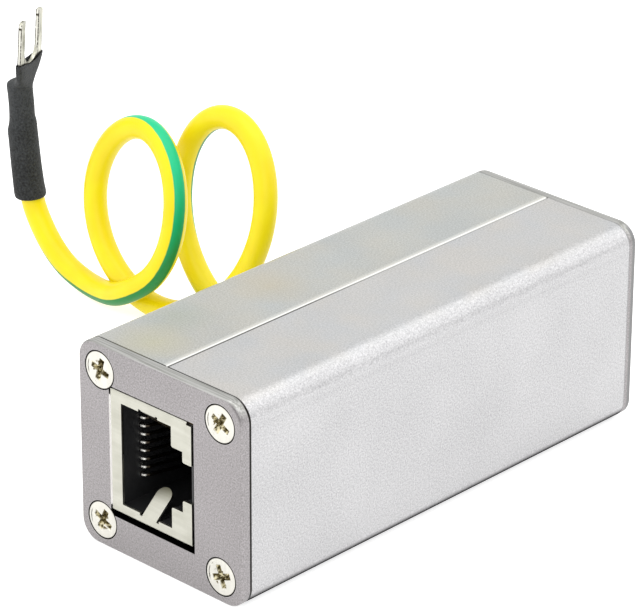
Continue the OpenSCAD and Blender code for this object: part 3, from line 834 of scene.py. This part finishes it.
def named(name):
    """Names what was just added, and moves its place into its mesh."""
    piece = bpy.context.active_object
    piece.name = name
    piece.data.name = name
    bpy.ops.object.transform_apply(location=True, rotation=True, scale=True)
    return piece


def open_mesh(piece):
    """Opens a piece in edit mode with nothing selected."""
    pick_only(piece)
    bpy.ops.object.mode_set(mode="EDIT")
    bpy.ops.mesh.select_mode(type="VERT")
    bpy.ops.mesh.select_all(action="DESELECT")


def close_mesh():
    """Goes back to object mode."""
    bpy.ops.object.mode_set(mode="OBJECT")


def pick(piece, kind, wanted):
    """In edit mode, selects the faces or the edges that are wanted."""
    bpy.ops.mesh.select_mode(type=kind)
    bpy.ops.mesh.select_all(action="DESELECT")
    mesh = bmesh.from_edit_mesh(piece.data)
    for part in mesh.faces if kind == "FACE" else mesh.edges:
        part.select_set(wanted(part))
    mesh.select_flush_mode()
    bmesh.update_edit_mesh(piece.data)


def apply_modifier(piece, kind, **settings):
    """Adds a modifier with its settings and applies it."""
    pick_only(piece)
    modifier = piece.modifiers.new(kind.lower(), kind)
    for key, value in settings.items():
        setattr(modifier, key, value)
    bpy.ops.object.modifier_apply(modifier=modifier.name)


def round_edges(piece, width, segments=2, sharper_than=30):
    """Rounds the sharp edges, and keeps the flat faces looking flat."""
    apply_modifier(piece, "BEVEL", width=width, segments=segments, limit_method="ANGLE",
                   angle_limit=math.radians(sharper_than))
    bpy.ops.object.shade_smooth_by_angle(angle=math.radians(50))
    apply_modifier(piece, "WEIGHTED_NORMAL", keep_sharp=True)


def carve(piece, cutter):
    """Cuts one piece with another, which is used up."""
    apply_modifier(piece, "BOOLEAN", operation="DIFFERENCE", object=cutter, solver="EXACT")
    bpy.data.objects.remove(cutter)


# Corners closer than the gap are one; the margin makes sure of places that are compared
merge_gap = 0.002 * MM
margin = 0.001 * MM


def copied_node(node_name, name):
    """A copy of a CAD node, with its loose triangles merged into plain faces."""
    piece = added(name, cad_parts[node_name].data.copy())
    piece.data.name = name
    open_mesh(piece)
    bpy.ops.mesh.select_all(action="SELECT")
    bpy.ops.mesh.remove_doubles(threshold=merge_gap)
    bpy.ops.mesh.dissolve_limited(angle_limit=math.radians(1))
    close_mesh()
    return piece


def dress(piece, material, slot_name, *node_names):
    """Gives a piece its finish, and lets it stand for its CAD nodes."""
    piece.data.materials.clear()
    piece.data.materials.append(material)
    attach(piece, "root")
    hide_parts(*node_names)
    return piece


# The earth wire

stripe_curve = eased(
    smooth_path([Vector((s, turn, 0)) for s, turn in stripe_turns], steps_between),
    stripe_easing)


def stripe_turn(distance_along):
    """How far the stripe is turned round the wire at a distance along it."""
    along = distance_along / MM
    after = next(i for i, place in enumerate(stripe_curve) if i and place.x >= along)
    a, b = stripe_curve[after - 1], stripe_curve[after]
    return math.radians(a.lerp(b, (along - a.x) / (b.x - a.x)).y)


def wire_rings(path, along):
    """The tube's corners: a ring about each point, turned to bring the stripe to its place."""
    last = len(path) - 1
    corners = []
    for i, point in enumerate(path):
        heading = (path[min(i + 1, last)] - path[max(i - 1, 0)]).normalized()
        outward = heading.cross(Y_AXIS).normalized()
        across = heading.cross(outward)
        start = stripe_turn(along[i]) + math.pi
        for k in range(wire_sides):
            turn = start + 2 * math.pi * k / wire_sides
            spoke = math.cos(turn) * outward + math.sin(turn) * across
            corners.append(point + wire_d / 2 * spoke)
    return corners


def tube_faces(last):
    """Faces between neighbouring rings, and one over each end."""
    faces = []
    for i in range(last):
        for k in range(wire_sides):
            a, b = i * wire_sides + k, i * wire_sides + (k + 1) % wire_sides
            faces.append((a, b, b + wire_sides, a + wire_sides))
    faces.append(tuple(reversed(range(wire_sides))))
    faces.append(tuple(last * wire_sides + k for k in range(wire_sides)))
    return faces


def unroll(mesh, along):
    """Smooths the tube's wall, and lays it out flat with the stripe along the middle."""
    unrolled = mesh.uv_layers.new(name="unrolled")
    for face in mesh.polygons[:-2]:
        face.use_smooth = True
        i, k = divmod(face.index, wire_sides)
        corners = ((i, k), (i, k + 1), (i + 1, k + 1), (i + 1, k))
        for loop, (ring, side) in zip(face.loop_indices, corners):
            unrolled.data[loop].uv = (along[ring] / along[-1], side / wire_sides)


def build_wire(material):
    """The insulated wire as a round tube. Also gives its path and its length."""
    path = eased(smooth_path(wire_points(), steps_between), wire_easing)
    along = [0.0]
    for a, b in zip(path, path[1:]):
        along.append(along[-1] + (b - a).length)
    mesh = bpy.data.meshes.new("earth_wire_insulation")
    mesh.from_pydata(wire_rings(path, along), [], tube_faces(len(path) - 1))
    unroll(mesh, along)
    wire = added("earth_wire_insulation", mesh)
    dress(wire, material, "wire_yellow", "earth_wire")
    return wire, path, along[-1]


# The shrink sleeve. Its round sections up the wire: height, middle across and through, and
# radius, in mm
round_sections = [
    (0, 0, 0, 1.85), (0.1, 0, 0, 1.95), (0.35, 0, 0, 2.04), (0.9, -0.01, 0.03, 2.03),
    (1.4, -0.03, 0.07, 1.99), (2.9, -0.045, 0.11, 1.96), (5, -0.06, 0.16, 1.93),
    (8, -0.06, 0.15, 1.9), (8.8, -0.075, 0.19, 1.91), (9.3, -0.055, 0.14, 1.88),
    (9.7, -0.03, 0.08, 1.8), (10.1, -0.015, 0.04, 1.74), (10.5, -0.02, 0.05, 1.68),
    (10.85, -0.03, 0.07, 1.62), (12.2, 0, -0.02, 1.62), (13.6, 0, 0, 1.62), (14.3, 0, 0, 1.63),
]
# Its flatter sections up the fork's palm: height, middle across and through, half width and
# half thickness in mm, and squareness
flat_sections = [
    (-0.3, 0, -0.02, 1.68, 1.66, 2), (0.12, 0, -0.05, 1.68, 1.64, 2),
    (0.55, -0.1, -0.55, 1.85, 1.2, 2.2), (1, -0.2, -0.9, 2.2, 0.8, 2.5),
    (1.6, -0.25, -1.12, 2.55, 0.6, 3), (2.2, -0.23, -1.2, 2.87, 0.56, 3.6),
    (3, -0.1, fork_y, 3.2, 0.54, 4), (3.85, 0, fork_y, 3.42, 0.54, 4.5),
]
sleeve_sections = [(sleeve_place, *section, section[-1], 2) for section in round_sections]
sleeve_sections += [(fork_place, *section) for section in flat_sections]
sleeve_sides = 48
sleeve_wall = 0.15 * MM
mouth_slant = 0.06
mouth_dip = 0.45
mouth_dip_w = 2.2


def rounded(value, squareness):
    """One coordinate of a round outline that is drawn towards a square."""
    return math.copysign(abs(value) ** (2 / squareness), value)


def sleeve_point(row, turn):
    """Where the sleeve's skin is, in one of its sections and this far round."""
    place, height, middle_x, middle_y, half_w, half_t, square = sleeve_sections[row]
    x = middle_x + half_w * rounded(math.cos(turn), square)
    y = middle_y + half_t * rounded(math.sin(turn), square)
    if row == len(sleeve_sections) - 1:
        # The mouth is cut at a slant, and dips where the slot's floor shows
        height -= mouth_slant * x
        if y < fork_y:
            height -= mouth_dip * max(0, 1 - (x / mouth_dip_w)**2)
    return place @ (Vector((x, y, height)) * MM)


def build_sleeve(material):
    """The sleeve: a round tube, shrunk over the crimp and pressed flat over the fork's palm."""
    bpy.ops.object.select_all(action="DESELECT")
    rows = len(sleeve_sections)
    bpy.ops.mesh.primitive_cylinder_add(
        vertices=sleeve_sides, radius=1, depth=rows - 1, location=(0, 0, (rows - 1) / 2),
        end_fill_type="NOTHING",
    )
    sleeve = named("heat_shrink_sleeve")
    open_mesh(sleeve)
    pick(sleeve, "EDGE", lambda edge: abs(edge.verts[0].co.z - edge.verts[1].co.z) > 0.5)
    bpy.ops.mesh.subdivide(number_cuts=rows - 2)
    close_mesh()
    for vertex in sleeve.data.vertices:
        turn = math.atan2(vertex.co.y, vertex.co.x)
        vertex.co = sleeve_point(round(vertex.co.z), turn)
    apply_modifier(sleeve, "SOLIDIFY", thickness=sleeve_wall, offset=-1)
    apply_modifier(sleeve, "SUBSURF", levels=2, render_levels=2)
    bpy.ops.object.shade_smooth()
    return dress(sleeve, material, "sleeve_charcoal", "shrink_sleeve")


# The bush in the left wall
bush_bore = wire_d / 2 + 0.05 * MM
bush_barrel = 2.3 * MM
bush_lip = 2.8 * MM
bush_flange = 3.2 * MM
bush_outer_x = wall_x - 1.2 * MM
bush_lip_x = wall_x + 1.5 * MM
bush_inner_x = wall_x + 2.3 * MM
bush_steps = 48


def draw_bush_outline():
    """The bush's section above the wire: a barrel with a flange outside and a lip inside."""
    middle = Vector(((bush_outer_x + bush_inner_x) / 2, wire_exit.y,
                     mid_z + (bush_bore + bush_barrel) / 2))
    bpy.ops.object.select_all(action="DESELECT")
    bpy.ops.mesh.primitive_plane_add(size=1, location=middle, rotation=(math.pi / 2, 0, 0))
    bush = named("wire_grommet")
    open_mesh(bush)
    bpy.ops.mesh.select_all(action="SELECT")
    bpy.ops.transform.resize(value=(bush_inner_x - bush_outer_x, 1, bush_barrel - bush_bore),
                             center_override=middle)
    for cut_x in (wall_x, bush_lip_x):
        bpy.ops.mesh.select_all(action="SELECT")
        bpy.ops.mesh.bisect(plane_co=(cut_x, 0, 0), plane_no=(1, 0, 0))
    top = mid_z + bush_barrel - margin
    for side, from_x, reach in ((-1, wall_x, bush_flange), (1, bush_lip_x, bush_lip)):
        def on_top(edge):
            a, b = (corner.co for corner in edge.verts)
            return min(a.z, b.z) > top and side * ((a.x + b.x) / 2 - from_x) > 0
        pick(bush, "EDGE", on_top)
        bpy.ops.mesh.extrude_edges_move(
            TRANSFORM_OT_translate={"value": (0, 0, reach - bush_barrel)})
    return bush


def build_bush(material):
    """The bush: its outline, spun about the wire."""
    bush = draw_bush_outline()
    # Only the outline is spun
    mesh = bmesh.from_edit_mesh(bush.data)
    inner_edges = [e for e in mesh.edges if not e.is_boundary]
    bmesh.ops.delete(mesh, geom=inner_edges + mesh.faces[:], context="EDGES_FACES")
    bmesh.update_edit_mesh(bush.data)
    bpy.ops.mesh.select_all(action="SELECT")
    bpy.ops.mesh.spin(steps=bush_steps, angle=2 * math.pi, center=(0, wire_exit.y, mid_z),
                      axis=(1, 0, 0))
    bpy.ops.mesh.select_all(action="SELECT")
    bpy.ops.mesh.remove_doubles(threshold=merge_gap)
    bpy.ops.mesh.normals_make_consistent(inside=False)
    close_mesh()
    round_edges(bush, width=0.25 * MM, segments=3)
    return dress(bush, material, "bush_black", "wire_bush")


# The screws: steps of the head's slight dome, as inset and rise, and nicks left by the
# driver, as degrees round the head and distance from its axis, with their length, width,
# depth and taper
dome_steps = ((0.08 * MM, 0.012 * MM), (0.5 * MM, 0.012 * MM), (0.7 * MM, 0.006 * MM))
driver_nicks = ((8, 1.75 * MM), (62, 1.8 * MM))
nick_form = (0.08 * MM, 0.42 * MM, 0.06 * MM, (0.4, 0.7))


def tapered_bar(place, length, width, depth, taper):
    """A bar that is sunk into a screw's head, narrower at its foot."""
    bpy.ops.object.select_all(action="DESELECT")
    over = 0.2 * MM
    bpy.ops.mesh.primitive_cube_add(size=1, location=place + Vector((0, (depth - over) / 2, 0)))
    bar = bpy.context.active_object
    wider = [1 + (1 - share) * over / depth for share in taper]
    bar.scale = (length * wider[0], depth + over, width * wider[1])
    bar = named("cutter")
    open_mesh(bar)
    pick(bar, "FACE", lambda face: face.normal.y > 0.9)
    bpy.ops.transform.resize(value=(taper[0] / wider[0], 1, taper[1] / wider[1]),
                             center_override=place)
    close_mesh()
    return bar


def carve_head(screw, degrees, bar):
    """Turns a bar about the screw's axis, and cuts the head with it."""
    bar.data.transform(Matrix.Rotation(math.radians(degrees), 4, "Y"))
    carve(screw, bar)


def build_first_screw():
    """One countersunk screw at the origin, its head's face at y = 0 and facing front."""
    bpy.ops.object.select_all(action="DESELECT")
    bpy.ops.mesh.primitive_cylinder_add(
        vertices=head_sides, radius=head_d / 2, depth=head_rim,
        location=(0, head_rim / 2, 0), rotation=(math.pi / 2, 0, 0),
    )
    screw = named("screw")
    open_mesh(screw)
    pick(screw, "FACE", lambda face: face.normal.y > 0.9)
    cone_l = (head_d - shank_d) / 2
    shank_l = screw_l - cone_l - head_rim - screw_tip
    before = head_d / 2
    for step, radius in ((cone_l, shank_d / 2), (shank_l, shank_d / 2),
                         (screw_tip, shank_d / 2 - screw_tip)):
        bpy.ops.mesh.extrude_region_move(TRANSFORM_OT_translate={"value": (0, step, 0)})
        bpy.ops.transform.resize(value=(radius / before, 1, radius / before),
                                 center_override=(0, 0, 0))
        before = radius
    pick(screw, "FACE", lambda face: face.normal.y < -0.9)
    for inset, rise in dome_steps:
        bpy.ops.mesh.inset(thickness=inset)
        bpy.ops.transform.translate(value=(0, -rise, 0))
    close_mesh()
    for degrees in (0, 90):
        arm = tapered_bar(Vector((0, 0, 0)), recess_l, recess_w, recess_deep, recess_taper)
        carve_head(screw, degrees, arm)
    for degrees, off in driver_nicks:
        carve_head(screw, degrees, tapered_bar(Vector((-off, 0, 0)), *nick_form))
    round_edges(screw, width=0.03 * MM, sharper_than=35)
    return screw


def build_screws(material):
    """Eight screws, each a copy of the first, turned as its own driver left it."""
    first = build_first_screw()
    middle = Vector((0, 0, mid_z))
    to_rear = (Matrix.Translation(middle) @ Matrix.Rotation(math.pi, 4, "X")
               @ Matrix.Translation(-middle))
    sides = {-1: "left", 1: "right"}
    levels = {-1: "low", 1: "high"}
    for (side, level), degrees in screw_turns.items():
        place = Vector((side * screw_off, screw_lo.y, mid_z + level * screw_off))
        for end in ("front", "rear"):
            name = f"{end}_screw_{sides[side]}_{levels[level]}"
            mesh = first.data.copy()
            mesh.name = name
            mesh.transform(Matrix.Translation(place)
                           @ Matrix.Rotation(math.radians(-degrees), 4, "Y"))
            if end == "rear":
                mesh.transform(to_rear)
            dress(added(name, mesh), material, "screw_nickel", f"{end}_screws")
    bpy.data.objects.remove(first)


# Camera, lights and floor
place_camera()
white_world()
soft_light("key", (0.30, 0.42, 0.42), size=0.80, power=2.2)
soft_light("fill", (-0.35, -0.45, 0.40), size=0.80, power=1.7)
soft_light("front", (0.40, -0.42, 0.45), size=0.60, power=1.6)
soft_light("overhead", (0.0, 0.0, 0.80), size=0.70, power=2.9)
soft_light("back", (-0.50, 0.52, 0.36), size=0.60, power=0.4, target=(0, 0, 0.02))

bpy.ops.object.select_all(action="DESELECT")
bpy.ops.mesh.primitive_plane_add(size=floor_size, location=(0, 0, -floor_drop))
floor = named("floor")
floor.data.materials.append(floor_paint())

# Finishes of all the pieces
left_aluminium = blasted_aluminium(
    "left_aluminium", dark=paint(136, 137, 135), light=paint(184, 186, 184),
    edge=paint(192, 193, 191), details=left_half_details)
right_aluminium = blasted_aluminium(
    "right_aluminium", dark=paint(147, 147, 148), light=paint(194, 193, 194),
    edge=paint(208, 208, 207), details=half_details)
plate_aluminium = blasted_aluminium(
    "plate_aluminium", dark=paint(115, 112, 112), light=paint(161, 157, 158),
    edge=paint(180, 178, 178), details=plate_details)
screw_nickel = bright_metal(
    "screw_nickel", dark=paint(192, 190, 182), light=paint(208, 206, 198),
    edge=paint(226, 225, 220), squeeze=(1, 1, 0.05), roughness=0.3, details=screw_details)
shield_nickel = bright_metal(
    "shield_nickel", dark=paint(166, 165, 154), light=paint(184, 183, 173),
    edge=paint(212, 209, 196), squeeze=(0.06, 1, 1), roughness=0.3, details=shield_details)
# The contacts' edges are darker than their faces: painted shade on the rounded wires
contact_gold = bright_metal(
    "contact_gold", dark=paint(244, 242, 234), light=paint(252, 251, 246),
    edge=paint(150, 144, 128), squeeze=(1, 0.05, 1), roughness=0.25, wear=0.7,
    details=contact_shade)
fork_tin = bright_metal(
    "fork_tin", dark=paint(96, 94, 76), light=paint(206, 205, 192),
    edge=paint(230, 230, 224), squeeze=(1, 1, 0.06), roughness=0.3, details=fork_highlights_and_shade)
tab_tin = bright_metal(
    "tab_tin", dark=paint(196, 194, 186), light=paint(224, 222, 216),
    edge=paint(244, 243, 240), squeeze=(1, 0.1, 1), roughness=0.3)
jack_black = moulded_plastic(
    "jack_black", dark=paint(18, 18, 19), light=paint(30, 30, 31), roughness=0.42,
    depth=0.01 * MM)
bush_black = moulded_plastic(
    "bush_black", dark=paint(16, 16, 17), light=paint(30, 30, 31), roughness=0.5,
    depth=0.02 * MM)
diode_black = moulded_plastic(
    "diode_black", dark=paint(22, 22, 24), light=paint(36, 36, 38), roughness=0.45,
    depth=0.01 * MM)
sleeve_charcoal = moulded_plastic(
    "sleeve_charcoal", dark=paint(12, 13, 13), light=paint(54, 56, 57), roughness=0.6,
    depth=0.06 * MM, scale=3600.0, specular=0.2)

dark_foot(left_aluminium)
dark_foot(right_aluminium)
crevice_light(shield_nickel, reach=tight_right - window_left)
crevice_light(plate_aluminium, reach=0.1 * MM)

# Pieces that are modelled anew
wire, wire_path, wire_length = build_wire(wire_insulation())
sleeve = build_sleeve(sleeve_charcoal)
bush = build_bush(bush_black)
build_screws(screw_nickel)

# Pieces that keep the model's shape: node, piece, finish, slot and rounding in mm
kept_pieces = [
    ("left_shell", "left_half", left_aluminium, "body_aluminium", 0.08),
    ("right_shell", "right_half", right_aluminium, "body_aluminium", 0.08),
    ("fork_terminal", "fork_lug", fork_tin, "fork_tin", 0.1),
]
for end in ("front", "rear"):
    kept_pieces += [
        (f"{end}_plate", f"{end}_end_plate", plate_aluminium, "plate_aluminium", 0.06),
        (f"{end}_jack_shield", f"{end}_socket_shield", shield_nickel, "shield_nickel", 0.04),
        (f"{end}_jack_insert", f"{end}_socket_insert", jack_black, "jack_black", 0.05),
    ]
    for count in range(1, 9):
        kept_pieces.append((f"{end}_contact_{count}", f"{end}_contact_spring_{count}",
                            contact_gold, "contact_gold", 0.06))
for node_name, name, material, slot_name, rounding in kept_pieces:
    piece = copied_node(node_name, name)
    round_edges(piece, width=rounding * MM)
    dress(piece, material, slot_name, node_name)

# The fork's finish reads each point's place on the fork itself, in mm
fork = bpy.data.objects["fork_lug"]
own_place = fork.data.attributes.new("own_place", "FLOAT_VECTOR", "POINT")
for vertex in fork.data.vertices:
    own_place.data[vertex.index].vector = fork_place.inverted() @ vertex.co / MM

# Inner pieces that keep their CAD meshes
inner_finishes = {
    "circuit_board": circuit_board_green(), "earth_tab": tab_tin,
    "gas_tube": tube_ceramic(), "clamp_diode": diode_black,
}
for node_name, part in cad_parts.items():
    finish = inner_finishes.get(node_name.rstrip("_0123456789"))
    if finish:
        part.data.materials.clear()
        part.data.materials.append(finish)
